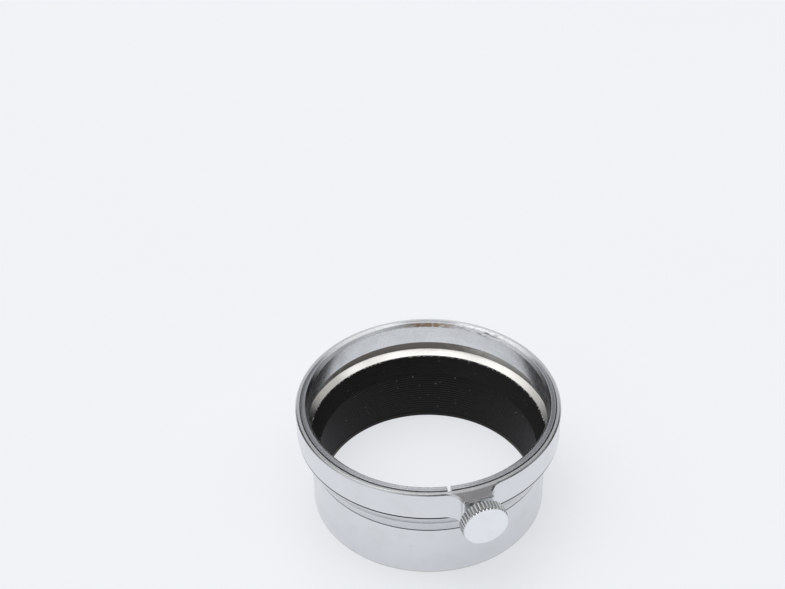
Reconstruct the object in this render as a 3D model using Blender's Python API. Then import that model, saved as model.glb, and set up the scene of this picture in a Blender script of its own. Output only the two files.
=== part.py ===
"""A slip-on lens hood with a split spring ring and a knurled clamp screw.

The optical axis is Z. The clamp end's rim is at z = 0, and the mouth is below it.
The clamp screw lies along Y, on the -Y side. Lengths are in metres.
"""

from math import acos, atan2, cos, pi, radians, sin

import bmesh
import bpy
from mathutils import Vector

MM = 0.001

# Turned outside
COLLAR_RADIUS = 20.0 * MM
COLLAR_TOP = -0.15 * MM
COLLAR_BOTTOM = -4.75 * MM
COLLAR_BEVEL = 0.21 * MM
CONE_TOP = -4.85 * MM
CONE_BOTTOM = -9.2 * MM
CONE_BOTTOM_RADIUS = 18.04 * MM
TUBE_RADIUS = 18.0 * MM
TUBE_TOP = -9.27 * MM
MOUTH = -18.2 * MM

# Turned inside
BORE_RADIUS = 18.14 * MM
BORE_CHAMFER = 0.4 * MM
RING_OUTER_RADIUS = 19.25 * MM
RING_HEIGHT = 3.7 * MM
COLLAR_INNER_RADIUS = 19.35 * MM
COUNTERBORE_RADIUS = 18.98 * MM
SEAT_TOP = -5.73 * MM
SEAT_BOTTOM = -6.41 * MM
SEAT_BOTTOM_RADIUS = 18.1 * MM
INNER_CONE_BOTTOM = -9.3 * MM
INNER_CONE_BOTTOM_RADIUS = 16.75 * MM
MOUTH_INNER_RADIUS = 16.6 * MM
MOUTH_LIP_HEIGHT = 0.7 * MM
MOUTH_CHAMFER = 0.12 * MM
LINING_THICKNESS = 0.15 * MM
FIT_GAP = 0.1 * MM
SEAM_GAP = 0.05 * MM
SPIGOT_HEIGHT = 0.6 * MM
SPIGOT_THICKNESS = 0.3 * MM
SPIGOT_OUTER_RADIUS = 17.65 * MM

# Split of the spring ring, in degrees about Z from +X
SLOT_ANGLE = -99.8
SLOT_WIDTH = 0.5 * MM
TONGUE_HINGE_ANGLE = -25.8
TONGUE_HINGE_RADIUS = 18.7 * MM
TONGUE_GAP = 0.06 * MM

# Lug and clamp screw, along Y
SCREW_HEIGHT = -2.45 * MM
LUG_REACH = 21.97 * MM
LUG_HALF_WIDTH = 2.28 * MM
LUG_FILLET = (LUG_HALF_WIDTH**2 + LUG_REACH**2 - COLLAR_RADIUS**2) / (2 * (COLLAR_RADIUS - LUG_HALF_WIDTH))
LUG_BORE_RADIUS = 1.3 * MM
BORE_CUTTER_MARGIN = 1.0 * MM
STUD_RADIUS = 1.25 * MM
STUD_NECK_RADIUS = 0.9 * MM
STUD_NECK_LENGTH = 0.95 * MM
KNOB_BACK = 23.24 * MM
KNOB_FACE = 25.0 * MM
KNOB_CREST_RADIUS = 3.44 * MM
KNOB_ROOT_RADIUS = 3.26 * MM
KNOB_EDGE_RADIUS = 3.2 * MM
KNOB_CHAMFER = 0.2 * MM
KNOB_TEETH = 40
KNOB_SOCKET_RADIUS = 0.95 * MM
KNOB_SOCKET_DEPTH = 1.05 * MM
PAD_RADIUS = 1.2 * MM
PAD_LENGTH = 1.0 * MM
PAD_CHAMFER = 0.15 * MM
PAD_GAP = 0.05 * MM

RING_SEGMENTS = 96
STUD_SEGMENTS = 32
FILLET_STEPS = 6
LUG_END_STEPS = 4
SHARP_ANGLE = radians(35)

# Colour, roughness and how metallic, by material name
FINISHES = {
    "satin_chrome": ((0.62, 0.63, 0.65), 0.25, 1),
    "bright_chrome": ((0.7, 0.69, 0.68), 0.15, 1),
    "black_enamel": ((0.012, 0.012, 0.013), 0.5, 0),
    "steel": ((0.5, 0.5, 0.5), 0.3, 1),
    "brass": ((0.6, 0.43, 0.18), 0.35, 1),
}


def clear_scene():
    for obj in list(bpy.data.objects):
        bpy.data.objects.remove(obj)


def finish(name):
    """A new material of that name."""
    colour, roughness, metallic = FINISHES[name]
    made = bpy.data.materials.new(name)
    made.use_nodes = True
    shader = made.node_tree.nodes["Principled BSDF"]
    shader.inputs["Base Color"].default_value = (*colour, 1)
    shader.inputs["Roughness"].default_value = roughness
    shader.inputs["Metallic"].default_value = metallic
    return made


def polar(radius, angle, z=0.0):
    """The point at that radius and angle (in radians about Z), at height z."""
    return Vector((radius * cos(angle), radius * sin(angle), z))


def loft(name, loops, closed_profile=False, closed_loops=True):
    """An object whose surface joins each loop of points to the next one.

    A loop of one point is a pole. With closed_profile the last loop joins the first.
    Without closed_loops the loops are open, and both ends get a flat cap.
    """
    shape = bmesh.new()
    rows = [[shape.verts.new(point) for point in loop] for loop in loops]
    pairs = list(zip(rows, rows[1:]))
    if closed_profile:
        pairs.append((rows[-1], rows[0]))
    count = max(len(row) for row in rows)
    for upper, lower in pairs:
        for i in range(count if closed_loops else count - 1):
            j = (i + 1) % count
            corners = [
                upper[i % len(upper)],
                lower[i % len(lower)],
                lower[j % len(lower)],
                upper[j % len(upper)],
            ]
            shape.faces.new(dict.fromkeys(corners))
    if not closed_loops:
        shape.faces.new([row[0] for row in rows])
        shape.faces.new([row[-1] for row in rows])
    bmesh.ops.recalc_face_normals(shape, faces=shape.faces)
    mesh = bpy.data.meshes.new(name)
    shape.to_mesh(mesh)
    shape.free()
    mesh.shade_smooth()
    mesh.set_sharp_from_angle(angle=SHARP_ANGLE)
    made = bpy.data.objects.new(name, mesh)
    bpy.context.scene.collection.objects.link(made)
    return made


def turned(name, profile):
    """A ring turned about Z from a closed profile of (radius, z) points."""
    angles = [2 * pi * i / RING_SEGMENTS for i in range(RING_SEGMENTS)]
    loops = [[polar(r, a, z) for a in angles] for r, z in profile]
    return loft(name, loops, closed_profile=True)


def turned_arc(name, profile, start, end):
    """The part of a turned ring between two angles in radians."""
    steps = max(2, round((end - start) / (2 * pi) * RING_SEGMENTS))
    angles = [start + (end - start) * i / steps for i in range(steps + 1)]
    loops = [[polar(r, a, z) for a in angles] for r, z in profile]
    return loft(name, loops, closed_profile=True, closed_loops=False)


def turned_along_screw(name, profile, segments, outline=None):
    """A piece turned about the clamp screw's axis from (radius, distance from Z) points.

    outline(radius, index) may change the radius round the axis, as for a knurl.
    """
    loops = []
    for radius, distance in profile:
        centre = Vector((0, -distance, SCREW_HEIGHT))
        if radius == 0:
            loops.append([centre])
            continue
        loop = []
        for i in range(segments):
            angle = 2 * pi * i / segments
            r = outline(radius, i) if outline else radius
            loop.append(centre + Vector((r * sin(angle), 0, r * cos(angle))))
        loops.append(loop)
    return loft(name, loops)


def collar_outline(inset):
    """The collar's outline with its lug, moved inwards by inset, as points at matching places.

    The fillet beside the lug is tangent to its side, level with its end, and tangent to the collar.
    """
    centre = Vector((LUG_HALF_WIDTH + LUG_FILLET, -LUG_REACH, 0))
    turn = acos(LUG_REACH / centre.length)
    right = []
    for i in range(FILLET_STEPS + 1):
        angle = pi - (pi / 2 - turn) * (1 - i / FILLET_STEPS)
        right.append(centre + polar(LUG_FILLET + inset, angle))
    end = -LUG_REACH + inset
    half_width = LUG_HALF_WIDTH - inset
    right[-1] = Vector((half_width, end, 0))
    face = [
        Vector((half_width * (1 - 2 * i / LUG_END_STEPS), end, 0))
        for i in range(1, LUG_END_STEPS)
    ]
    left = [Vector((-p.x, p.y, 0)) for p in reversed(right)]
    first = -pi / 2 + turn
    last = 3 * pi / 2 - turn
    count = round((last - first) / (2 * pi) * RING_SEGMENTS)
    band = [
        polar(COLLAR_RADIUS - inset, last + (first - last) * i / count)
        for i in range(1, count)
    ]
    return right + face + left + band


def lifted(points, z):
    return [Vector((p.x, p.y, z)) for p in points]


def clamp_collar():
    outer = collar_outline(0)
    top = collar_outline(COLLAR_BEVEL)
    inner = [polar(COLLAR_INNER_RADIUS, atan2(p.y, p.x)) for p in outer]
    loops = [
        lifted(outer, COLLAR_TOP - COLLAR_BEVEL),
        lifted(outer, COLLAR_BOTTOM),
        lifted(inner, COLLAR_BOTTOM),
        lifted(inner, COLLAR_TOP),
        lifted(top, COLLAR_TOP),
    ]
    return loft("clamp_collar", loops, closed_profile=True)


def lug_bore():
    """The cutter for the threaded hole through the lug and the collar's wall."""
    inner = COLLAR_INNER_RADIUS - BORE_CUTTER_MARGIN
    outer = LUG_REACH + BORE_CUTTER_MARGIN
    profile = [(0, inner), (LUG_BORE_RADIUS, inner), (LUG_BORE_RADIUS, outer), (0, outer)]
    cutter = turned_along_screw("lug_bore", profile, STUD_SEGMENTS)
    cutter.hide_render = True
    cutter.display_type = "WIRE"
    return cutter


def cut(target, cutter):
    modifier = target.modifiers.new("bore", "BOOLEAN")
    modifier.operation = "DIFFERENCE"
    modifier.solver = "EXACT"
    modifier.object = cutter


def ring_profile():
    return [
        (BORE_RADIUS + BORE_CHAMFER, 0),
        (RING_OUTER_RADIUS, 0),
        (RING_OUTER_RADIUS, -RING_HEIGHT),
        (BORE_RADIUS, -RING_HEIGHT),
        (BORE_RADIUS, -BORE_CHAMFER),
    ]


def inner_cone_radius(z):
    """The radius of the black inner cone at height z."""
    share = (SEAT_BOTTOM - z) / (SEAT_BOTTOM - INNER_CONE_BOTTOM)
    return SEAT_BOTTOM_RADIUS + (INNER_CONE_BOTTOM_RADIUS - SEAT_BOTTOM_RADIUS) * share


def shoulder_cone():
    spigot_top = -RING_HEIGHT - SEAM_GAP
    spigot_radius = COLLAR_INNER_RADIUS - FIT_GAP
    recess_top = CONE_BOTTOM + SPIGOT_HEIGHT
    behind_lining = LINING_THICKNESS + FIT_GAP
    lining_top = SEAT_BOTTOM - SEAM_GAP
    profile = [
        (spigot_radius, spigot_top),
        (spigot_radius, CONE_TOP),
        (COLLAR_RADIUS, CONE_TOP),
        (CONE_BOTTOM_RADIUS, CONE_BOTTOM),
        (SPIGOT_OUTER_RADIUS + FIT_GAP, CONE_BOTTOM),
        (SPIGOT_OUTER_RADIUS + FIT_GAP, recess_top),
        (inner_cone_radius(recess_top) + behind_lining, recess_top),
        (inner_cone_radius(lining_top) + behind_lining, lining_top),
        (SEAT_BOTTOM_RADIUS, lining_top),
        (SEAT_BOTTOM_RADIUS, SEAT_BOTTOM),
        (COUNTERBORE_RADIUS, SEAT_TOP),
        (COUNTERBORE_RADIUS, spigot_top),
    ]
    return turned("shoulder_cone", profile)


def cone_lining():
    top = SEAT_BOTTOM - SEAM_GAP - FIT_GAP
    bottom = INNER_CONE_BOTTOM
    profile = [
        (inner_cone_radius(top), top),
        (inner_cone_radius(top) + LINING_THICKNESS, top),
        (inner_cone_radius(bottom) + LINING_THICKNESS, bottom),
        (inner_cone_radius(bottom), bottom),
    ]
    return turned("cone_lining", profile)


def hood_tube():
    spigot_top = CONE_BOTTOM + SPIGOT_HEIGHT - SEAM_GAP
    spigot_inner = SPIGOT_OUTER_RADIUS - SPIGOT_THICKNESS
    wall_inner = INNER_CONE_BOTTOM_RADIUS + LINING_THICKNESS + FIT_GAP
    lip_top = MOUTH + MOUTH_LIP_HEIGHT
    profile = [
        (SPIGOT_OUTER_RADIUS, spigot_top),
        (SPIGOT_OUTER_RADIUS, TUBE_TOP),
        (TUBE_RADIUS, TUBE_TOP),
        (TUBE_RADIUS, MOUTH + MOUTH_CHAMFER),
        (TUBE_RADIUS - MOUTH_CHAMFER, MOUTH),
        (MOUTH_INNER_RADIUS + MOUTH_CHAMFER, MOUTH),
        (MOUTH_INNER_RADIUS, MOUTH + MOUTH_CHAMFER),
        (MOUTH_INNER_RADIUS, lip_top),
        (wall_inner, lip_top),
        (wall_inner, TUBE_TOP),
        (spigot_inner, TUBE_TOP + (spigot_inner - wall_inner)),
        (spigot_inner, spigot_top),
    ]
    return turned("hood_tube", profile)


def tube_lining():
    top = INNER_CONE_BOTTOM - FIT_GAP
    bottom = MOUTH + MOUTH_LIP_HEIGHT + SEAM_GAP
    outer = INNER_CONE_BOTTOM_RADIUS + LINING_THICKNESS
    profile = [
        (INNER_CONE_BOTTOM_RADIUS, top),
        (outer, top),
        (outer, bottom),
        (MOUTH_INNER_RADIUS, bottom),
    ]
    return turned("tube_lining", profile)


def spring_ring():
    half_slot = SLOT_WIDTH / 2 / BORE_RADIUS
    start = radians(TONGUE_HINGE_ANGLE)
    end = radians(SLOT_ANGLE) - half_slot + 2 * pi
    return turned_arc("spring_ring", ring_profile(), start, end)


def spring_ring_tongue():
    """The ring's free end. Its origin is on the line that it bends about."""
    half_slot = SLOT_WIDTH / 2 / BORE_RADIUS
    start = radians(SLOT_ANGLE) + half_slot
    end = radians(TONGUE_HINGE_ANGLE) - TONGUE_GAP / BORE_RADIUS
    made = turned_arc("spring_ring_tongue", ring_profile(), start, end)
    return with_origin(made, polar(TONGUE_HINGE_RADIUS, radians(TONGUE_HINGE_ANGLE)))


def with_origin(obj, origin):
    """Puts the object's origin there and leaves its shape where it is."""
    for vertex in obj.data.vertices:
        vertex.co -= origin
    obj.location = origin
    return obj


def knurl(radius, index):
    """Crests on even points and roots on odd ones, wherever the profile reaches the knurl."""
    if radius < KNOB_CREST_RADIUS:
        return radius
    return KNOB_CREST_RADIUS if index % 2 == 0 else KNOB_ROOT_RADIUS


def knurled_knob():
    profile = [
        (0, KNOB_BACK + KNOB_SOCKET_DEPTH),
        (KNOB_SOCKET_RADIUS, KNOB_BACK + KNOB_SOCKET_DEPTH),
        (KNOB_SOCKET_RADIUS, KNOB_BACK),
        (KNOB_EDGE_RADIUS, KNOB_BACK),
        (KNOB_CREST_RADIUS, KNOB_BACK + KNOB_CHAMFER),
        (KNOB_CREST_RADIUS, KNOB_FACE - KNOB_CHAMFER),
        (KNOB_EDGE_RADIUS, KNOB_FACE),
        (0, KNOB_FACE),
    ]
    return turned_along_screw("knurled_knob", profile, 2 * KNOB_TEETH, knurl)


def pad_outer():
    """How far from Z the pad's outer end is, where the stud's tip presses."""
    return RING_OUTER_RADIUS + PAD_GAP + PAD_LENGTH


def screw_stud():
    tip = pad_outer() + SEAM_GAP
    shoulder = KNOB_BACK - SEAM_GAP
    chamfer = STUD_RADIUS - STUD_NECK_RADIUS
    profile = [
        (0, tip),
        (STUD_NECK_RADIUS, tip),
        (STUD_RADIUS, tip + chamfer),
        (STUD_RADIUS, shoulder),
        (STUD_NECK_RADIUS, shoulder),
        (STUD_NECK_RADIUS, KNOB_BACK + STUD_NECK_LENGTH),
        (0, KNOB_BACK + STUD_NECK_LENGTH),
    ]
    return turned_along_screw("screw_stud", profile, STUD_SEGMENTS)


def pressure_pad():
    inner = RING_OUTER_RADIUS + PAD_GAP
    profile = [
        (0, inner),
        (PAD_RADIUS - PAD_CHAMFER, inner),
        (PAD_RADIUS, inner + PAD_CHAMFER),
        (PAD_RADIUS, pad_outer()),
        (0, pad_outer()),
    ]
    return turned_along_screw("pressure_pad", profile, STUD_SEGMENTS)


def clamp_screw(pieces):
    """Puts the screw's pieces under an empty on the screw's axis, at the lug's end."""
    holder = bpy.data.objects.new("clamp_screw_axis", None)
    holder.location = (0, -LUG_REACH, SCREW_HEIGHT)
    bpy.context.scene.collection.objects.link(holder)
    for piece in pieces:
        with_origin(piece, holder.location)
        piece.location = (0, 0, 0)
        piece.parent = holder


def build():
    collar = clamp_collar()
    cut(collar, lug_bore())
    knob = knurled_knob()
    stud = screw_stud()
    pad = pressure_pad()
    clamp_screw([knob, stud, pad])
    pieces = {
        "satin_chrome": [collar, shoulder_cone(), hood_tube(), knob],
        "bright_chrome": [spring_ring(), spring_ring_tongue()],
        "black_enamel": [cone_lining(), tube_lining()],
        "steel": [stud],
        "brass": [pad],
    }
    for name, members in pieces.items():
        made = finish(name)
        for piece in members:
            piece.data.materials.append(made)


clear_scene()
build()
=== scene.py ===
"""The looks of a slip-on lens hood: chromed brass outside, black grooves inside, a knurled clamp screw.

The optical axis is Z, and the clamp screw lies along Y on the -Y side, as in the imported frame.
Lengths are in metres.
"""

from math import acos, asin, atan2, ceil, cos, pi, radians, sin

import bmesh
import bpy
from mathutils import Euler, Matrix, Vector


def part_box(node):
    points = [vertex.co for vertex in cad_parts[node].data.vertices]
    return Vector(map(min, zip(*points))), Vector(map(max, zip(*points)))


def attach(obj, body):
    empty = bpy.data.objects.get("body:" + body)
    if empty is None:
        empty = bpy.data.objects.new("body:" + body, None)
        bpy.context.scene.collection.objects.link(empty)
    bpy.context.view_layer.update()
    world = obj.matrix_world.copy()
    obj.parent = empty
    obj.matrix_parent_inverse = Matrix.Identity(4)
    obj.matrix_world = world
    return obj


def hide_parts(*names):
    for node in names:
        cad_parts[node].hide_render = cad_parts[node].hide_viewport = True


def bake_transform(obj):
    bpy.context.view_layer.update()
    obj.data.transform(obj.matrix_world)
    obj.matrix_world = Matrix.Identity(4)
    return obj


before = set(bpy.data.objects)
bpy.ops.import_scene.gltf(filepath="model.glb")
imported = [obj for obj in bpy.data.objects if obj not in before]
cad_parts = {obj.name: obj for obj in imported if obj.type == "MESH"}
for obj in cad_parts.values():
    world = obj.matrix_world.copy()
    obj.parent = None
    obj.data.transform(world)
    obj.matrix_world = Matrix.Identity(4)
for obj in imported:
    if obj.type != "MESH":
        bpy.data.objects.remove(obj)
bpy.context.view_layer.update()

MM = 0.001

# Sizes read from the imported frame
COLLAR_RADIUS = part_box("shoulder_cone")[1].x
COLLAR_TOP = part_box("clamp_collar")[1].z
COLLAR_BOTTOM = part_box("clamp_collar")[0].z
LUG_REACH = -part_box("clamp_collar")[0].y
TUBE_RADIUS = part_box("hood_tube")[1].x
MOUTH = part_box("hood_tube")[0].z
RING_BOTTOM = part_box("spring_ring")[0].z
KNOB_BACK = -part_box("knurled_knob")[1].y
KNOB_FACE = -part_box("knurled_knob")[0].y
KNOB_RADIUS = (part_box("knurled_knob")[1].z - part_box("knurled_knob")[0].z) / 2
SCREW_HEIGHT = (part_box("knurled_knob")[1].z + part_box("knurled_knob")[0].z) / 2
STUD_TIP = -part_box("screw_stud")[1].y
STUD_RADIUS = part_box("screw_stud")[1].x
PAD_OUTER = -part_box("pressure_pad")[0].y
PAD_INNER = -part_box("pressure_pad")[1].y
PAD_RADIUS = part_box("pressure_pad")[1].x

# Turned surfaces, as the solids have them
COLLAR_BEVEL = 0.21 * MM
COLLAR_INNER_RADIUS = 19.35 * MM
SPIGOT_RADIUS = 19.25 * MM
RING_OUTER_RADIUS = 19.25 * MM
BORE_RADIUS = 18.14 * MM
BORE_CHAMFER = 0.4 * MM
COUNTERBORE_RADIUS = 18.98 * MM
CONE_TOP = -4.85 * MM
CONE_BOTTOM = -9.2 * MM
CONE_BOTTOM_RADIUS = 18.04 * MM
SEAT_TOP = -5.73 * MM
SEAT_BOTTOM = -6.41 * MM
SEAT_BOTTOM_RADIUS = 18.1 * MM
INNER_CONE_BOTTOM = -9.3 * MM
INNER_CONE_BOTTOM_RADIUS = 16.75 * MM
MOUTH_INNER_RADIUS = 16.6 * MM
LINING_THICKNESS = 0.15 * MM
TUBE_TOP = -9.27 * MM
TUBE_SPIGOT_RADIUS = 17.65 * MM
LIP_HEIGHT = 0.7 * MM
LUG_HALF_WIDTH = 2.28 * MM
LUG_CORNER = 0.28 * MM
LUG_BORE_RADIUS = 1.3 * MM
SCRIBED_LINE = -6.75 * MM

# The ring's split, in degrees about Z from +X
SLOT_ANGLE = -99.8
SLOT_WIDTH = 0.5 * MM
TONGUE_ROOT_ANGLE = -25.8
TONGUE_BEND_END_ANGLE = -50.0

# Small marks, in degrees about Z from +X, height and radius in millimetres
WALL_NICKS = [
    (-177.3, -3.15, 0.16),
    (-178.6, -2.2, 0.08),
    (-179.2, -1.6, 0.07),
    (-117.3, -12.8, 0.1),
    (-20, -13.6, 0.07),
    (35, -2.6, 0.1),
    (80, -14.1, 0.12),
    (112, -3.3, 0.08),
    (150, -11.9, 0.09),
]
# Pale specks on the ring's bore: the first two are painted glints, the rest are dust
DUST_AND_GLINTS_ON_RING = [
    (-0.3, -1.65, 0.14),
    (-2.3, -2.4, 0.11),
    (30, -3.1, 0.06),
    (118, -0.9, 0.06),
    (170, -2.2, 0.07),
]

# Grooves in the black lining
CONE_GROOVES = 8
TUBE_GROOVES = 17
GROOVE_DEPTH = 0.09 * MM

# The clamp screw
KNURL_TEETH = 40
KNURL_DEPTH = 0.17 * MM
KNOB_CHAMFER = 0.22 * MM
THREAD_PITCH = 0.45 * MM
THREAD_DEPTH = 0.22 * MM

# Where the ring's end and edge look different, in degrees about Z from +X: the centre of the painted
# highlights and shade on the ring's end, then two worn stretches of its edge
RING_END_PAINTED_LIGHT_CENTRE = 71.0
WORN_STRETCH = 70.0
RUBBED_STRETCH = 44.0

# Colours of clean metal
OUTER_TINT = (0.735, 0.745, 0.765)
RING_TINT = (0.67, 0.69, 0.725)
KNOB_TINT = (0.84, 0.86, 0.885)
STEEL_TINT = (0.42, 0.41, 0.4)
BRASS_TINT = (0.6, 0.43, 0.18)

# Colours of dirt, wear and coating, and of painted shade, highlights and glints
SEAM_GRIME_AND_SHADE = (0.03, 0.03, 0.034, 1)
UNDERCUT_SHADE = (0.56, 0.55, 0.52, 1)
UNDERCUT_DEEP_SHADE = (0.22, 0.2, 0.18, 1)
LUG_TOP_SHADE_DARK = (0.27, 0.27, 0.28, 1)
LUG_TOP_SHADE_LIGHT = (0.5, 0.5, 0.52, 1)
WARM_SEAT = (0.8, 0.785, 0.755, 1)
NICK_DARK = (0.12, 0.12, 0.12, 1)
DARK_LIP = (0.016, 0.013, 0.011, 1)
MOUTH_EDGE_WARM_DARK = (0.5, 0.42, 0.34, 1)
RING_END_PAINTED_SHADE = (0.28, 0.29, 0.315, 1)
RING_END_PAINTED_HIGHLIGHT = (0.86, 0.87, 0.885, 1)
BORE_PAINTED_LIGHTER = (0.83, 0.84, 0.86, 1)
WORN_BRASS = (0.36, 0.265, 0.19, 1)
RUBBED_DARK = (0.1, 0.1, 0.1, 1)
PALE_DUST_AND_GLINT = (0.8, 0.8, 0.8, 1)
KNURL_GRIME_AND_SHADE = (0.22, 0.22, 0.22, 1)
ENAMEL_SHADES = ((0.003, 0.003, 0.003, 1), (0.009, 0.009, 0.009, 1))
CONE_ENAMEL_SHADES = ((0.012, 0.012, 0.011, 1), (0.022, 0.021, 0.02, 1))
SCUFFED_ENAMEL = (0.07, 0.07, 0.075, 1)
ENAMEL_DUST = (0.19, 0.19, 0.2, 1)
CHIPPED_METAL = (0.6, 0.6, 0.6, 1)

SEGMENTS = 240
SHARP_ANGLE = radians(32)


# ---------------------------------------------------------------- mesh tools


def polar(radius, angle, z=0.0):
    return Vector((radius * cos(angle), radius * sin(angle), z))


def rounded(corners, steps=4, support=0.012 * MM):
    """A closed (x, y) outline from (x, y, radius) corners.

    Each corner with a radius becomes an arc, with one more point just outside each end of the arc,
    so that the flat stretches beside it shade flat.
    """
    outline = []
    count = len(corners)
    for i, (x, y, radius) in enumerate(corners):
        here = Vector((x, y))
        before = Vector(corners[i - 1][:2]) - here
        after = Vector(corners[(i + 1) % count][:2]) - here
        if radius == 0:
            outline.append(tuple(here))
            continue
        half = before.angle(after) / 2
        reach = radius / max(1e-9, sin(half) / cos(half))
        start = here + before.normalized() * reach
        end = here + after.normalized() * reach
        centre = here + (before.normalized() + after.normalized()).normalized() * (radius / sin(half))
        outline.append(tuple(start + before.normalized() * support))
        a = start - centre
        turn = a.angle_signed(end - centre)
        for k in range(steps + 1):
            angle = -turn * k / steps
            across = a.x * cos(angle) - a.y * sin(angle)
            along = a.x * sin(angle) + a.y * cos(angle)
            outline.append(tuple(centre + Vector((across, along))))
        outline.append(tuple(end + after.normalized() * support))
    return outline


def loft(name, loops, closed_profile=False, closed_loops=True):
    """A mesh object whose surface joins each loop of points to the next one.

    A loop of one point is a pole.
    """
    shape = bmesh.new()
    rows = [[shape.verts.new(point) for point in loop] for loop in loops]
    pairs = list(zip(rows, rows[1:]))
    if closed_profile:
        pairs.append((rows[-1], rows[0]))
    count = max(len(row) for row in rows)
    for upper, lower in pairs:
        for i in range(count if closed_loops else count - 1):
            j = (i + 1) % count
            corners = [
                upper[i % len(upper)],
                lower[i % len(lower)],
                lower[j % len(lower)],
                upper[j % len(upper)],
            ]
            shape.faces.new(dict.fromkeys(corners))
    if not closed_loops:
        shape.faces.new([row[0] for row in rows])
        shape.faces.new([row[-1] for row in rows])
    bmesh.ops.recalc_face_normals(shape, faces=shape.faces)
    mesh = bpy.data.meshes.new(name)
    shape.to_mesh(mesh)
    shape.free()
    return finished(name, mesh)


def finished(name, mesh):
    """An object of that mesh, smooth but for its sharp edges."""
    mesh.shade_smooth()
    mesh.set_sharp_from_angle(angle=SHARP_ANGLE)
    made = bpy.data.objects.new(name, mesh)
    bpy.context.scene.collection.objects.link(made)
    return made


def turned(name, profile):
    """A ring turned about Z from a closed profile of (radius, z) points."""
    angles = [2 * pi * i / SEGMENTS for i in range(SEGMENTS)]
    loops = [[polar(r, a, z) for a in angles] for r, z in profile]
    return loft(name, loops, closed_profile=True)


def turned_arc(name, profile, start, end):
    """The part of a turned ring between two angles in radians."""
    steps = ceil((end - start) / (2 * pi) * SEGMENTS)
    angles = [start + (end - start) * i / steps for i in range(steps + 1)]
    loops = [[polar(r, a, z) for a in angles] for r, z in profile]
    return loft(name, loops, closed_profile=True, closed_loops=False)


def turned_along_screw(name, profile, segments, shape=None):
    """A piece turned about the clamp screw's axis from (radius, distance from Z) points.

    shape(radius, distance, angle) may change the radius, as for a knurl or a thread.
    """
    loops = []
    for radius, distance in profile:
        centre = Vector((0, -distance, SCREW_HEIGHT))
        if radius == 0:
            loops.append([centre])
            continue
        loop = []
        for i in range(segments):
            angle = 2 * pi * i / segments
            r = shape(radius, distance, angle) if shape else radius
            loop.append(centre + Vector((r * sin(angle), 0, r * cos(angle))))
        loops.append(loop)
    return loft(name, loops)


# ---------------------------------------------------------------- materials


class Shader:
    """A material's node tree, with short ways to add and join nodes."""

    def __init__(self, name):
        self.material = bpy.data.materials.new(name)
        self.material.use_nodes = True
        self.tree = self.material.node_tree
        self.bsdf = self.tree.nodes["Principled BSDF"]

    def add(self, kind, inputs=(), **settings):
        """A new node. inputs gives its sockets values or links, by name or place."""
        made = self.tree.nodes.new(kind)
        for key, value in settings.items():
            setattr(made, key, value)
        for key, value in dict(inputs).items():
            self.put(made.inputs[key], value)
        return made

    def vector(self, operation, inputs, output=0):
        return self.add("ShaderNodeVectorMath", inputs, operation=operation).outputs[output]

    def put(self, socket, value):
        if isinstance(value, bpy.types.NodeSocket):
            self.tree.links.new(value, socket)
        else:
            socket.default_value = value

    def math(self, operation, a, b=0.0, c=0.0, clamp=False):
        made = self.add("ShaderNodeMath", {0: a, 1: b, 2: c}, operation=operation, use_clamp=clamp)
        return made.outputs[0]

    def ramp(self, value, low, high, to_low=0.0, to_high=1.0, smooth=True):
        """value from low..high to to_low..to_high, held at the ends."""
        made = self.add(
            "ShaderNodeMapRange",
            {"Value": value, "From Min": low, "From Max": high, "To Min": to_low, "To Max": to_high},
            interpolation_type="SMOOTHSTEP" if smooth else "LINEAR",
        )
        return made.outputs["Result"]

    def mix(self, share, a, b):
        """Colour a where share is 0, b where it is 1."""
        made = self.add("ShaderNodeMix", data_type="RGBA")
        self.put(made.inputs[0], share)
        self.put(made.inputs[6], a)
        self.put(made.inputs[7], b)
        return made.outputs[2]

    def noise(self, vector, scale, detail=2.0, roughness=0.5):
        made = self.add(
            "ShaderNodeTexNoise",
            {"Vector": vector, "Scale": scale, "Detail": detail, "Roughness": roughness},
        )
        return made.outputs["Fac"]

    def bump(self, height, distance, strength=1.0, normal=None):
        inputs = {"Height": height, "Distance": distance, "Strength": strength}
        if normal is not None:
            inputs["Normal"] = normal
        return self.add("ShaderNodeBump", inputs).outputs["Normal"]

    def place(self):
        """The point on the piece, in millimetres."""
        here = self.add("ShaderNodeTexCoord").outputs["Object"]
        return self.vector("SCALE", {0: here, "Scale": 1 / MM})

    def round_axis(self, place, along_screw=False):
        """(radius, height along the axis, unit vector round the axis) of a point, in millimetres."""
        parts = self.add("ShaderNodeSeparateXYZ", {0: place}).outputs
        if along_screw:
            up = self.math("SUBTRACT", parts[2], SCREW_HEIGHT / MM)
            height = parts[1]
        else:
            up = parts[1]
            height = parts[2]
        flat = self.add("ShaderNodeCombineXYZ", {0: parts[0], 1: up, 2: 0.0}).outputs[0]
        radius = self.vector("LENGTH", {0: flat}, "Value")
        unit = self.vector("NORMALIZE", {0: flat})
        return radius, height, unit

    def marks(self, place, radius, spots):
        """1 on small round marks at (angle, height, size) on a turned surface of that radius.

        The angle is in degrees and the rest in millimetres.
        """
        total = 0.0
        for angle, height, size in spots:
            there = polar(radius, radians(angle), height)
            away = self.vector("DISTANCE", {0: place, 1: there}, "Value")
            total = self.math("MAXIMUM", total, self.ramp(away, size, size * 0.5))
        return total

    def lathe_lines(self, radius, height, unit, per_mm, round_scale, detail=3.0):
        """Noise drawn out round the axis, as turning leaves it."""
        step = self.math("MULTIPLY_ADD", height, 0.62, radius)
        scaled = self.vector("SCALE", {0: unit, "Scale": round_scale})
        along = self.math("MULTIPLY", step, per_mm)
        lifted = self.add("ShaderNodeCombineXYZ", {0: 0.0, 1: 0.0, 2: along}).outputs[0]
        return self.noise(self.vector("ADD", {0: scaled, 1: lifted}), 1.0, detail)


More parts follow.
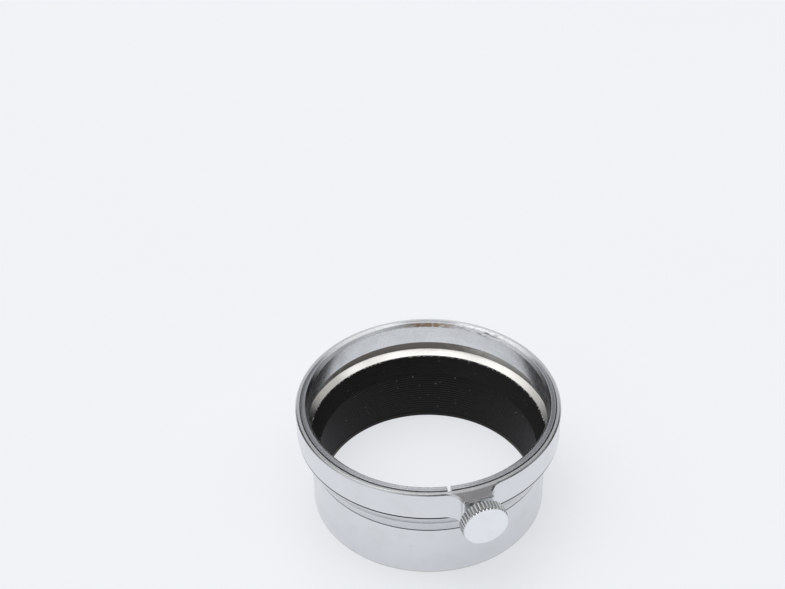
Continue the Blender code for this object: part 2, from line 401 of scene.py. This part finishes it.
def turned_metal(s, tint, roughness, line_depth, anisotropy, along_screw=False):
    """Sets up metal with fine turning lines, faint tarnish and specks.

    Returns what later touches start from.
    """
    place = s.place()
    radius, height, unit = s.round_axis(place, along_screw)
    fine = s.lathe_lines(radius, height, unit, 14.0, 1.2)
    broad = s.lathe_lines(radius, height, unit, 3.0, 0.8)
    tarnish = s.ramp(s.noise(place, 0.35, 4.0, 0.6), 0.42, 0.75)
    speck = s.ramp(s.noise(place, 5.0, 3.0, 0.7), 0.66, 0.8)
    warm = tuple(c * w for c, w in zip(tint, (0.972, 0.968, 0.966)))
    colour = s.mix(tarnish, (*tint, 1), (*warm, 1))
    colour = s.mix(s.math("MULTIPLY", speck, 0.14), colour, (*(c * 0.45 for c in tint), 1))
    rough = s.math("MULTIPLY_ADD", fine, 0.08, roughness - 0.04)
    rough = s.math("MULTIPLY_ADD", tarnish, 0.05, rough)
    relief = s.math("MULTIPLY_ADD", broad, 0.8, fine)
    s.put(s.bsdf.inputs["Normal"], s.bump(relief, line_depth))
    s.put(s.bsdf.inputs["Metallic"], 1.0)
    s.bsdf.inputs["Anisotropic"].default_value = anisotropy
    s.bsdf.inputs["Anisotropic Rotation"].default_value = 0.25
    if along_screw:
        tangent = s.add("ShaderNodeTangent", direction_type="RADIAL", axis="Y")
    else:
        parts = s.add("ShaderNodeSeparateXYZ", {0: unit}).outputs
        tangent = s.add("ShaderNodeCombineXYZ", {0: s.math("MULTIPLY", parts[1], -1.0), 1: parts[0]})
    s.put(s.bsdf.inputs["Tangent"], tangent.outputs[0])
    return place, radius, height, unit, colour, rough


def outer_chrome():
    """Chrome plate with grime and painted shade in the seams, painted shade in the undercut inside and on
    the lug's top, a darker, warmer bottom edge, and a dark lip at the mouth.
    """
    s = Shader("outer_chrome")
    start = turned_metal(s, OUTER_TINT, roughness=0.22, line_depth=0.0005 * MM, anisotropy=0.6)
    place, radius, height, unit, colour, rough = start
    outside = s.math("GREATER_THAN", radius, 17.6)
    # Dark bands at the two seams: grime and painted shade
    for seam in ((COLLAR_BOTTOM + CONE_TOP) / 2, (CONE_BOTTOM + TUBE_TOP) / 2):
        away = s.math("ABSOLUTE", s.math("SUBTRACT", height, seam / MM))
        grime_and_shade = s.math("MULTIPLY", s.ramp(away, 0.2, 0.09), outside)
        colour = s.mix(grime_and_shade, colour, SEAM_GRIME_AND_SHADE)
    # Painted shade in the undercut above the seat, deeper on the far side of the hood
    within = s.math("LESS_THAN", radius, COUNTERBORE_RADIUS / MM + 0.03)
    above_seat = s.ramp(height, SEAT_TOP / MM + 0.02, SEAT_TOP / MM + 0.08)
    undercut = s.math("MULTIPLY", within, above_seat)
    parts = s.add("ShaderNodeSeparateXYZ", {0: unit}).outputs
    far_side_shade = s.math("MULTIPLY_ADD", s.noise(place, 0.7, 3.0), 0.3, parts[1])
    far_side_shade = s.ramp(far_side_shade, 0.75, 1.05)
    colour = s.mix(undercut, colour, s.mix(far_side_shade, UNDERCUT_SHADE, UNDERCUT_DEEP_SHADE))
    # Painted shade on the lug's top face, mottled
    lug = s.ramp(radius, COLLAR_RADIUS / MM - 0.1, COLLAR_RADIUS / MM + 0.1)
    at_top = s.ramp(height, COLLAR_TOP / MM - 0.05, COLLAR_TOP / MM - 0.01)
    lug_top_shade = s.mix(s.noise(place, 3.5, 4.0, 0.7), LUG_TOP_SHADE_DARK, LUG_TOP_SHADE_LIGHT)
    colour = s.mix(s.math("MULTIPLY", at_top, lug), colour, lug_top_shade)
    above_enamel = s.ramp(height, SEAT_BOTTOM / MM - 0.08, SEAT_BOTTOM / MM - 0.02)
    seat = s.math("MULTIPLY", within, above_enamel)
    seat = s.math("MULTIPLY", seat, s.math("SUBTRACT", 1.0, undercut))
    colour = s.mix(seat, colour, WARM_SEAT)
    on_collar = [spot for spot in WALL_NICKS if spot[1] > CONE_TOP / MM]
    on_tube = [spot for spot in WALL_NICKS if spot[1] < CONE_TOP / MM]
    collar_nicks = s.marks(place, COLLAR_RADIUS / MM, on_collar)
    tube_nicks = s.marks(place, TUBE_RADIUS / MM, on_tube)
    nicks = s.math("MAXIMUM", collar_nicks, tube_nicks)
    colour = s.mix(s.math("MULTIPLY", nicks, 0.75), colour, NICK_DARK)
    lip = s.math("LESS_THAN", radius, MOUTH_INNER_RADIUS / MM + 0.2)
    colour = s.mix(lip, colour, DARK_LIP)
    # Darker and warmer along the bottom edge of the outside
    edge = s.math("MULTIPLY", s.ramp(height, MOUTH / MM + 0.3, MOUTH / MM + 0.1), outside)
    colour = s.mix(s.math("MULTIPLY", edge, 0.6), colour, MOUTH_EDGE_WARM_DARK)
    s.put(s.bsdf.inputs["Metallic"], s.math("SUBTRACT", 1.0, lip))
    s.bsdf.inputs["Specular IOR Level"].default_value = 0.15
    s.put(s.bsdf.inputs["Base Color"], colour)
    s.put(s.bsdf.inputs["Roughness"], s.ramp(undercut, 0.0, 1.0, rough, 0.4))
    return s.material


def ring_chrome():
    """Bright chrome with plain turning lines, worn through to the brass on one stretch of its edge. Its end
    has painted highlights and painted shade, its bore is painted lighter, and pale specks on the bore are
    dust and painted glints.
    """
    s = Shader("ring_chrome")
    start = turned_metal(s, RING_TINT, roughness=0.23, line_depth=0.0006 * MM, anisotropy=0.7)
    place, radius, height, unit, colour, rough = start
    parts = s.add("ShaderNodeSeparateXYZ", {0: unit}).outputs
    angle = s.math("DEGREES", s.math("ARCTAN2", parts[1], parts[0]))
    # Painted highlights on the ring's end to either side of straight behind the hood, and painted shade,
    # streaked along the turning lines, over the rest of the end
    off_painted_light_centre = s.math("ABSOLUTE", s.math("SUBTRACT", angle, RING_END_PAINTED_LIGHT_CENTRE))
    painted_highlight = s.math("MULTIPLY", s.ramp(off_painted_light_centre, 8.0, 24.0), s.ramp(off_painted_light_centre, 66.0, 48.0))
    streaks = s.ramp(s.lathe_lines(radius, height, unit, 11.0, 0.7), 0.4, 0.62)
    on_top = s.ramp(height, -0.08, -0.03)
    painted_shade = s.math("MULTIPLY", on_top, s.ramp(streaks, 0, 1, 0.3, 0.85))
    painted_shade = s.math("MULTIPLY", painted_shade, s.ramp(painted_highlight, 0, 1, 1.0, 0.0))
    colour = s.mix(painted_shade, colour, RING_END_PAINTED_SHADE)
    colour = s.mix(s.math("MULTIPLY", on_top, painted_highlight), colour, RING_END_PAINTED_HIGHLIGHT)
    # The bore is painted lighter than the rest of the ring
    bore = s.math("LESS_THAN", radius, BORE_RADIUS / MM + 0.05)
    colour = s.mix(bore, colour, BORE_PAINTED_LIGHTER)
    chamfer = s.ramp(radius, 18.66, 18.5)
    chamfer = s.math("MULTIPLY", chamfer, s.ramp(height, -0.62, -0.42))
    blotch = s.noise(place, 1.6, 3.0, 0.6)
    worn = s.ramp(s.math("ABSOLUTE", s.math("SUBTRACT", angle, WORN_STRETCH)), 16.0, 5.0)
    worn = s.math("MULTIPLY", worn, chamfer)
    worn = s.math("MULTIPLY", worn, s.ramp(blotch, 0.34, 0.5))
    colour = s.mix(worn, colour, WORN_BRASS)
    strokes = s.ramp(s.lathe_lines(radius, height, unit, 9.0, 16.0), 0.5, 0.62)
    rubbed = s.ramp(s.math("ABSOLUTE", s.math("SUBTRACT", angle, RUBBED_STRETCH)), 17.0, 8.0)
    rubbed = s.math("MULTIPLY", rubbed, s.ramp(height, -0.7, -0.4))
    rubbed = s.math("MULTIPLY", rubbed, strokes)
    colour = s.mix(s.math("MULTIPLY", rubbed, 0.7), colour, RUBBED_DARK)
    # Pale specks that are not metal: dust, and the two painted glints near 0 degrees
    dust = s.marks(place, BORE_RADIUS / MM, DUST_AND_GLINTS_ON_RING)
    colour = s.mix(dust, colour, PALE_DUST_AND_GLINT)
    s.put(s.bsdf.inputs["Metallic"], s.math("SUBTRACT", 1.0, dust))
    s.put(s.bsdf.inputs["Base Color"], colour)
    s.put(s.bsdf.inputs["Roughness"], s.math("MULTIPLY_ADD", bore, 0.04, rough))
    return s.material


def knob_chrome():
    """Satin chrome, with grime and painted shade on the knurl, darkest between its teeth."""
    s = Shader("knob_chrome")
    line_depth = 0.0008 * MM
    _, radius, height, _, colour, rough = turned_metal(s, KNOB_TINT, 0.3, line_depth, 0.3, along_screw=True)
    crest = KNOB_RADIUS / MM
    behind_face = s.ramp(height, -KNOB_FACE / MM + 0.1, -KNOB_FACE / MM + 0.2)
    knurled = s.math("MULTIPLY", s.ramp(radius, crest - 0.26, crest - 0.2), behind_face)
    # Grime and painted shade on the knurl, darkest between its teeth
    grime_and_shade = s.math("MULTIPLY", knurled, s.ramp(radius, crest - 0.02, crest - 0.12, 0.25, 0.9))
    colour = s.mix(grime_and_shade, colour, KNURL_GRIME_AND_SHADE)
    s.put(s.bsdf.inputs["Base Color"], colour)
    s.put(s.bsdf.inputs["Roughness"], s.math("MULTIPLY_ADD", knurled, 0.15, rough))
    return s.material


def black_enamel():
    """Matt black over grooves, dusty, and chipped to the metal along its top edge."""
    s = Shader("black_enamel")
    place = s.place()
    height = s.round_axis(place)[1]
    grain = s.noise(place, 9.0, 3.0, 0.7)
    cell_inputs = {"Vector": place, "Scale": 1.15, "Randomness": 1.0}
    cells = s.add("ShaderNodeTexVoronoi", cell_inputs, feature="F1")
    dust_size = s.ramp(s.noise(place, 0.8, 1.0), 0.4, 0.75, 0.03, 0.15)
    near = s.math("LESS_THAN", cells.outputs["Distance"], dust_size)
    dust = s.math("MULTIPLY", near, s.ramp(s.noise(place, 0.16, 1.0), 0.42, 0.5))
    edge = s.ramp(height, SEAT_BOTTOM / MM - 0.45, SEAT_BOTTOM / MM - 0.06)
    chips = s.math("MULTIPLY_ADD", edge, 0.33, s.noise(place, 2.6, 3.0, 0.6))
    chips = s.math("GREATER_THAN", chips, 0.84)
    colour = s.mix(grain, *ENAMEL_SHADES)
    flare = s.ramp(height, INNER_CONE_BOTTOM / MM - 0.02, INNER_CONE_BOTTOM / MM + 0.02)
    colour = s.mix(flare, colour, s.mix(grain, *CONE_ENAMEL_SHADES))
    patches = s.ramp(s.noise(place, 2.6, 4.0, 0.7), 0.35, 0.7)
    scuffed = s.math("MULTIPLY", s.ramp(edge, 0.25, 0.6), patches)
    colour = s.mix(scuffed, colour, SCUFFED_ENAMEL)
    colour = s.mix(dust, colour, ENAMEL_DUST)
    colour = s.mix(chips, colour, CHIPPED_METAL)
    s.put(s.bsdf.inputs["Base Color"], colour)
    s.put(s.bsdf.inputs["Roughness"], s.ramp(grain, 0.3, 0.7, 0.4, 0.55))
    s.bsdf.inputs["Specular IOR Level"].default_value = 0.2
    s.put(s.bsdf.inputs["Normal"], s.bump(grain, 0.006 * MM))
    return s.material


def plain_metal(name, tint, roughness):
    """Turned metal that has never been plated."""
    s = Shader(name)
    place = s.place()
    radius, height, unit = s.round_axis(place, along_screw=True)
    fine = s.lathe_lines(radius, height, unit, 14.0, 1.0)
    cloud = s.noise(place, 1.2, 3.0)
    dull = tuple(c * 0.55 for c in tint)
    s.put(s.bsdf.inputs["Base Color"], s.mix(s.ramp(cloud, 0.35, 0.7), (*tint, 1), (*dull, 1)))
    s.bsdf.inputs["Metallic"].default_value = 1
    s.put(s.bsdf.inputs["Roughness"], s.math("MULTIPLY_ADD", fine, 0.2, roughness - 0.1))
    s.put(s.bsdf.inputs["Normal"], s.bump(fine, 0.004 * MM))
    return s.material


# ---------------------------------------------------------------- pieces


def keep(piece, material, body, node):
    """Gives a piece its material, and makes it stand for its CAD node on that node's body."""
    piece.data.materials.append(material)
    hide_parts(node)
    if body:
        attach(piece, body)
    return piece


def turning_marks(depth=0.016 * MM, width=0.046 * MM):
    """Corners of the shallow lines that the tool left in the ring's end, from the inside out."""
    corners = []
    for radius in (18.73 * MM, 18.88 * MM, 19.06 * MM):
        corners += [(radius - width / 2, 0, 0), (radius, -depth, 0), (radius + width / 2, 0, 0)]
    return corners


def ring_profile():
    edge = 0.03 * MM
    return rounded(
        [
            (BORE_RADIUS + BORE_CHAMFER, 0, edge),
            *turning_marks(),
            (RING_OUTER_RADIUS, 0, 0.05 * MM),
            (RING_OUTER_RADIUS, RING_BOTTOM, edge),
            (BORE_RADIUS, RING_BOTTOM, 0.06 * MM),
            (BORE_RADIUS, -BORE_CHAMFER, edge),
        ]
    )


def inner_cone_radius(z):
    share = (SEAT_BOTTOM - z) / (SEAT_BOTTOM - INNER_CONE_BOTTOM)
    return SEAT_BOTTOM_RADIUS + (INNER_CONE_BOTTOM_RADIUS - SEAT_BOTTOM_RADIUS) * share


def grooved(top, bottom, grooves, radius_at):
    """The inner side of a lining, bottom to top, with that many V grooves cut into it."""
    points = []
    pitch = (top - bottom) / grooves
    for i in range(grooves):
        low = bottom + pitch * i
        for share, depth in ((0.12, 0), (0.46, 1), (0.54, 1), (0.88, 0)):
            z = low + pitch * share
            points.append((radius_at(z) + GROOVE_DEPTH * depth, z))
    return points


def cone_lining():
    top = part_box("cone_lining")[1].z
    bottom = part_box("cone_lining")[0].z
    inner = grooved(top, bottom, CONE_GROOVES, inner_cone_radius)
    outer = [
        (inner_cone_radius(top) + LINING_THICKNESS, top),
        (inner_cone_radius(bottom) + LINING_THICKNESS, bottom),
    ]
    ends = [(inner_cone_radius(bottom), bottom)], [(inner_cone_radius(top), top)]
    return turned("cone_grooves", ends[0] + inner + ends[1] + outer)


def tube_lining():
    low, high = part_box("tube_lining")

    def radius_at(z):
        share = (z - low.z) / (high.z - low.z)
        return MOUTH_INNER_RADIUS + (INNER_CONE_BOTTOM_RADIUS - MOUTH_INNER_RADIUS) * share

    inner = grooved(high.z, low.z, TUBE_GROOVES, radius_at)
    outer_radius = INNER_CONE_BOTTOM_RADIUS + LINING_THICKNESS
    outer = [(outer_radius, high.z), (outer_radius, low.z)]
    ends = [(MOUTH_INNER_RADIUS, low.z)], [(INNER_CONE_BOTTOM_RADIUS, high.z)]
    return turned("tube_grooves", ends[0] + inner + ends[1] + outer)


def hood_tube():
    low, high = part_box("hood_tube")
    wall_inner = INNER_CONE_BOTTOM_RADIUS + LINING_THICKNESS + 0.1 * MM
    spigot_inner = TUBE_SPIGOT_RADIUS - 0.3 * MM
    edge = 0.03 * MM
    profile = rounded(
        [
            (TUBE_SPIGOT_RADIUS, high.z, 0),
            (TUBE_SPIGOT_RADIUS, TUBE_TOP, 0),
            (TUBE_RADIUS, TUBE_TOP, 0.08 * MM),
            (TUBE_RADIUS, MOUTH, 0.12 * MM),
            (MOUTH_INNER_RADIUS, MOUTH, 0.08 * MM),
            (MOUTH_INNER_RADIUS, MOUTH + LIP_HEIGHT, edge),
            (wall_inner, MOUTH + LIP_HEIGHT, 0),
            (wall_inner, TUBE_TOP, 0),
            (spigot_inner, TUBE_TOP + spigot_inner - wall_inner, 0),
            (spigot_inner, high.z, 0),
        ]
    )
    return turned("tube_shell", profile)


def scribed(radius_at, z, width=0.06 * MM, depth=0.022 * MM):
    """Corners of a shallow scribed line, for an outline that runs downwards."""
    return [
        (radius_at(z + width / 2), z + width / 2, 0),
        (radius_at(z) - depth, z, 0),
        (radius_at(z - width / 2), z - width / 2, 0),
    ]


def shoulder_cone():
    low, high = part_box("shoulder_cone")
    cone_slope = (COLLAR_RADIUS - CONE_BOTTOM_RADIUS) / (CONE_TOP - CONE_BOTTOM)
    recess_top = CONE_BOTTOM + 0.6 * MM
    behind = LINING_THICKNESS + 0.1 * MM
    lining_top = SEAT_BOTTOM - 0.05 * MM
    profile = rounded(
        [
            (SPIGOT_RADIUS, high.z, 0),
            (SPIGOT_RADIUS, CONE_TOP, 0),
            (COLLAR_RADIUS, CONE_TOP, 0.08 * MM),
            *scribed(lambda z: COLLAR_RADIUS + (z - CONE_TOP) * cone_slope, SCRIBED_LINE),
            (CONE_BOTTOM_RADIUS, CONE_BOTTOM, 0.05 * MM),
            (TUBE_SPIGOT_RADIUS + 0.1 * MM, CONE_BOTTOM, 0),
            (TUBE_SPIGOT_RADIUS + 0.1 * MM, recess_top, 0),
            (inner_cone_radius(recess_top) + behind, recess_top, 0),
            (inner_cone_radius(lining_top) + behind, lining_top, 0),
            (SEAT_BOTTOM_RADIUS, lining_top, 0),
            (SEAT_BOTTOM_RADIUS, SEAT_BOTTOM, 0.02 * MM),
            (COUNTERBORE_RADIUS, SEAT_TOP, 0.03 * MM),
            (COUNTERBORE_RADIUS, high.z, 0),
        ]
    )
    return turned("cone_shell", profile)


def collar_outline(inset):
    """The collar's outline with its lug, moved inwards by inset, as points at matching places."""
    side = COLLAR_RADIUS - LUG_HALF_WIDTH
    fillet = (LUG_HALF_WIDTH**2 + LUG_REACH**2 - COLLAR_RADIUS**2) / (2 * side)
    centre = Vector((LUG_HALF_WIDTH + fillet, -LUG_REACH, 0))
    turn = acos(LUG_REACH / centre.length)
    fillet += inset
    corner = LUG_CORNER - inset
    corner_centre = Vector((LUG_HALF_WIDTH - LUG_CORNER, -LUG_REACH + LUG_CORNER, 0))
    steps = 16
    # the fillet stops where the corner's arc begins, at the corner centre's height
    stop = pi - asin((corner_centre.y - centre.y) / fillet)
    begin = pi / 2 + turn
    right = [centre + polar(fillet, begin + (stop - begin) * i / steps) for i in range(steps + 1)]
    right += [corner_centre + polar(corner, -pi / 2 * i / 6) for i in range(1, 7)]
    face_half = corner_centre.x
    face = [Vector((face_half * (1 - 2 * i / 8), -LUG_REACH + inset, 0)) for i in range(1, 8)]
    left = [Vector((-p.x, p.y, 0)) for p in reversed(right)]
    first = -pi / 2 + turn
    last = -pi / 2 - turn + 2 * pi
    count = round((last - first) / (2 * pi) * SEGMENTS)
    band = [polar(COLLAR_RADIUS - inset, last + (first - last) * i / count) for i in range(1, count)]
    return right + face + left + band


def lifted(points, z):
    return [Vector((p.x, p.y, z)) for p in points]


def clamp_collar():
    soft = 0.05 * MM
    side = rounded(
        [
            (0, COLLAR_BOTTOM, 0.09 * MM),
            (0, COLLAR_TOP - COLLAR_BEVEL, soft),
            (COLLAR_BEVEL, COLLAR_TOP, soft),
            (COLLAR_BEVEL + 1 * MM, COLLAR_TOP, 0),
            (COLLAR_BEVEL + 1 * MM, COLLAR_BOTTOM, 0),
        ]
    )
    outer = [lifted(collar_outline(max(0.0, inset)), z) for inset, z in side[:-2]]
    base = collar_outline(0)
    inner = [polar(COLLAR_INNER_RADIUS, atan2(p.y, p.x)) for p in base]
    lip = [polar(COLLAR_INNER_RADIUS + 0.04 * MM, atan2(p.y, p.x)) for p in base]
    inner_top = COLLAR_TOP - 0.04 * MM
    loops = outer + [lifted(lip, COLLAR_TOP), lifted(inner, inner_top), lifted(inner, COLLAR_BOTTOM)]
    collar = loft("collar_band", loops, closed_profile=True)
    ends = (COLLAR_INNER_RADIUS - 1 * MM, LUG_REACH + 1 * MM)
    profile = [(0, ends[0]), (LUG_BORE_RADIUS, ends[0]), (LUG_BORE_RADIUS, ends[1]), (0, ends[1])]
    return bored(collar, turned_along_screw("bore_cutter", profile, 64))


def bored(piece, cutter):
    """Cuts the cutter out of the piece for good, and removes the cutter."""
    name = piece.name
    modifier = piece.modifiers.new("bore", "BOOLEAN")
    modifier.operation = "DIFFERENCE"
    modifier.solver = "EXACT"
    modifier.object = cutter
    graph = bpy.context.evaluated_depsgraph_get()
    mesh = bpy.data.meshes.new_from_object(piece.evaluated_get(graph))
    bpy.data.objects.remove(cutter)
    bpy.data.objects.remove(piece)
    return finished(name, mesh)


def spring_ring():
    half_slot = SLOT_WIDTH / 2 / BORE_RADIUS
    start = radians(TONGUE_ROOT_ANGLE)
    end = radians(SLOT_ANGLE) - half_slot + 2 * pi
    return turned_arc("ring_arc", ring_profile(), start, end)


def ring_tongue():
    half_slot = SLOT_WIDTH / 2 / BORE_RADIUS
    start = radians(SLOT_ANGLE) + half_slot
    end = radians(TONGUE_ROOT_ANGLE)
    return turned_arc("ring_free_end", ring_profile(), start, end)


def knurl(radius, distance, angle):
    """Straight teeth with narrow flat crests, wherever the profile reaches the knurl."""
    if radius < KNOB_RADIUS - 0.01 * MM:
        return radius
    phase = abs((angle * KNURL_TEETH / (2 * pi)) % 1 - 0.5) * 2
    depth = min(1.0, max(0.0, (phase - 0.25) / 0.6))
    return radius - KNURL_DEPTH * depth


def knurled_knob():
    face_radius = KNOB_RADIUS - KNOB_CHAMFER
    socket = 0.95 * MM
    profile = [
        (0, KNOB_BACK + 1.05 * MM),
        (socket, KNOB_BACK + 1.05 * MM),
        (socket, KNOB_BACK),
        (face_radius - 0.02 * MM, KNOB_BACK),
        (face_radius, KNOB_BACK + 0.01 * MM),
        (KNOB_RADIUS, KNOB_BACK + KNOB_CHAMFER),
        (KNOB_RADIUS, KNOB_FACE - KNOB_CHAMFER * 0.8),
        (face_radius, KNOB_FACE - 0.015 * MM),
        (face_radius - 0.03 * MM, KNOB_FACE),
        (face_radius - 0.06 * MM, KNOB_FACE),
        (face_radius * 0.6, KNOB_FACE),
        (face_radius * 0.2, KNOB_FACE),
        (0, KNOB_FACE),
    ]
    return turned_along_screw("knob_head", profile, KNURL_TEETH * 8, knurl)


def thread(radius, distance, angle):
    """A helical V thread, right-handed, on the stretches of full radius."""
    if radius < STUD_RADIUS - 0.001 * MM:
        return radius
    phase = (distance / THREAD_PITCH + angle / (2 * pi)) % 1
    return radius - THREAD_DEPTH * abs(phase - 0.5) * 2


def screw_stud():
    neck = 0.9 * MM
    shoulder = KNOB_BACK - 0.05 * MM
    start = STUD_TIP + (STUD_RADIUS - neck)
    steps = round((shoulder - start) / (THREAD_PITCH / 8))
    body = [(STUD_RADIUS, start + (shoulder - start) * i / steps) for i in range(steps + 1)]
    profile = [(0, STUD_TIP), (neck, STUD_TIP), *body]
    profile += [(neck, shoulder), (neck, KNOB_BACK + 0.95 * MM), (0, KNOB_BACK + 0.95 * MM)]
    return turned_along_screw("stud_thread", profile, 64, thread)


def pressure_pad():
    chamfer = 0.15 * MM
    profile = [
        (0, PAD_INNER),
        (PAD_RADIUS - chamfer, PAD_INNER),
        (PAD_RADIUS, PAD_INNER + chamfer),
        (PAD_RADIUS, PAD_OUTER),
        (0, PAD_OUTER),
    ]
    return turned_along_screw("brass_pad", profile, 48)


outside = outer_chrome()
ring_metal = ring_chrome()
knob_metal = knob_chrome()
enamel = black_enamel()
steel = plain_metal("stud_steel", STEEL_TINT, 0.35)
brass = plain_metal("pad_brass", BRASS_TINT, 0.4)

keep(clamp_collar(), outside, "root", "clamp_collar")
keep(shoulder_cone(), outside, "root", "shoulder_cone")
keep(hood_tube(), outside, "root", "hood_tube")
keep(cone_lining(), enamel, "root", "cone_lining")
keep(tube_lining(), enamel, "root", "tube_lining")
keep(spring_ring(), ring_metal, "root", "spring_ring")
tongue = keep(ring_tongue(), ring_metal, None, "spring_ring_tongue")
polar(RING_OUTER_RADIUS, radians(TONGUE_ROOT_ANGLE))
polar(RING_OUTER_RADIUS, radians(TONGUE_BEND_END_ANGLE))
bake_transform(tongue)
keep(knurled_knob(), knob_metal, "clamp_screw", "knurled_knob")
keep(screw_stud(), steel, "clamp_screw", "screw_stud")
keep(pressure_pad(), brass, "screw_thrust", "pressure_pad")


# ---------------------------------------------------------------- studio

CAMERA_AZIMUTH = -18.8
CAMERA_ELEVATION = 41.55
CAMERA_DISTANCE = 216 * MM
CAMERA_TILT = radians(4.2)
CAMERA_PAN = radians(1.417)
SENSOR_WIDTH = 36.0
LENS = 65.54

# The floor, which glows a little so that the hood casts almost no shadow
FLOOR_SIZE = 4.0
FLOOR_GAP = 0.02 * MM
FLOOR_SHADES = ((0.33, 0.333, 0.34, 1), (0.35, 0.353, 0.36, 1))
FLOOR_GLOW = (0.955, 0.98, 1.02, 1)
FLOOR_GLOW_STRENGTH = 0.6


def towards(azimuth, elevation):
    """The direction at that angle clockwise from straight behind the hood, as the camera sees it.

    Both angles are in degrees.
    """
    a = radians(90 - azimuth + CAMERA_AZIMUTH)
    e = radians(elevation)
    return Vector((cos(a) * cos(e), sin(a) * cos(e), sin(e)))


def camera():
    data = bpy.data.cameras.new("camera")
    data.lens = LENS
    data.sensor_width = SENSOR_WIDTH
    data.clip_start = 0.005
    data.clip_end = 50
    made = bpy.data.objects.new("camera", data)
    bpy.context.scene.collection.objects.link(made)
    back = towards(180, CAMERA_ELEVATION)
    made.location = back * CAMERA_DISTANCE
    facing = (-back).to_track_quat("-Z", "Y").to_matrix()
    turned_by = Euler((CAMERA_TILT, CAMERA_PAN, 0)).to_matrix()
    made.rotation_euler = (facing @ turned_by).to_euler()
    bpy.context.scene.camera = made


def floor():
    shape = bmesh.new()
    bmesh.ops.create_grid(shape, x_segments=1, y_segments=1, size=FLOOR_SIZE)
    bmesh.ops.translate(shape, verts=shape.verts, vec=(0, 0, MOUTH - FLOOR_GAP))
    mesh = bpy.data.meshes.new("floor")
    shape.to_mesh(mesh)
    shape.free()
    made = bpy.data.objects.new("floor", mesh)
    bpy.context.scene.collection.objects.link(made)
    s = Shader("floor_white")
    cloud = s.noise(s.place(), 0.01, 2.0)
    s.put(s.bsdf.inputs["Base Color"], s.mix(cloud, *FLOOR_SHADES))
    s.bsdf.inputs["Roughness"].default_value = 0.9
    s.bsdf.inputs["Specular IOR Level"].default_value = 0.2
    s.bsdf.inputs["Emission Color"].default_value = FLOOR_GLOW
    s.bsdf.inputs["Emission Strength"].default_value = FLOOR_GLOW_STRENGTH
    made.data.materials.append(s.material)


# Soft lights of a plain studio, with angles in degrees
LIGHT_HALF_ANGLE = 27
WALL_BRIGHTNESS = 1.0
CEILING_BRIGHTNESS = 1.5
WINDOW_BRIGHTNESS = 0.4
BELOW_HORIZON = (0.9, 0.91, 0.93)


def soft_lights():
    """(azimuth, elevation, brightness) of each soft light, with the angles that towards() takes."""
    wall_behind = [(0, elevation, WALL_BRIGHTNESS) for elevation in (5, 25)]
    ceiling = [(azimuth, 75, CEILING_BRIGHTNESS) for azimuth in (0, 180, 270)]
    window_on_left = [(azimuth, 40, WINDOW_BRIGHTNESS) for azimuth in range(210, 311, 25)]
    panels = [(75, 40, 0.6), (110, 60, 1.2), (285, 60, 0.8)]
    return wall_behind + ceiling + window_on_left + panels


def studio_light():
    world = bpy.data.worlds.new("studio")
    world.use_nodes = True
    bpy.context.scene.world = world
    tree = world.node_tree
    new = tree.nodes.new
    link = tree.links.new
    direction = new("ShaderNodeTexCoord").outputs["Generated"]
    parts = new("ShaderNodeSeparateXYZ")
    link(direction, parts.inputs[0])
    below = new("ShaderNodeMapRange")
    link(parts.outputs["Z"], below.inputs["Value"])
    below.inputs["From Min"].default_value = 0.02
    below.inputs["From Max"].default_value = -0.02
    ground = new("ShaderNodeVectorMath")
    ground.operation = "SCALE"
    ground.inputs[0].default_value = BELOW_HORIZON
    link(below.outputs["Result"], ground.inputs["Scale"])
    total = ground.outputs[0]
    for azimuth, elevation, brightness in soft_lights():
        dot = new("ShaderNodeVectorMath")
        dot.operation = "DOT_PRODUCT"
        link(direction, dot.inputs[0])
        dot.inputs[1].default_value = towards(azimuth, elevation)
        glow = new("ShaderNodeMapRange")
        glow.interpolation_type = "SMOOTHSTEP"
        link(dot.outputs["Value"], glow.inputs["Value"])
        glow.inputs["From Min"].default_value = cos(radians(LIGHT_HALF_ANGLE))
        glow.inputs["From Max"].default_value = 1
        glow.inputs["To Max"].default_value = brightness
        added = new("ShaderNodeVectorMath")
        link(total, added.inputs[0])
        link(glow.outputs["Result"], added.inputs[1])
        total = added.outputs[0]
    link(total, tree.nodes["Background"].inputs["Color"])


camera()
floor()
studio_light()
bpy.context.scene.view_settings.view_transform = "Standard"
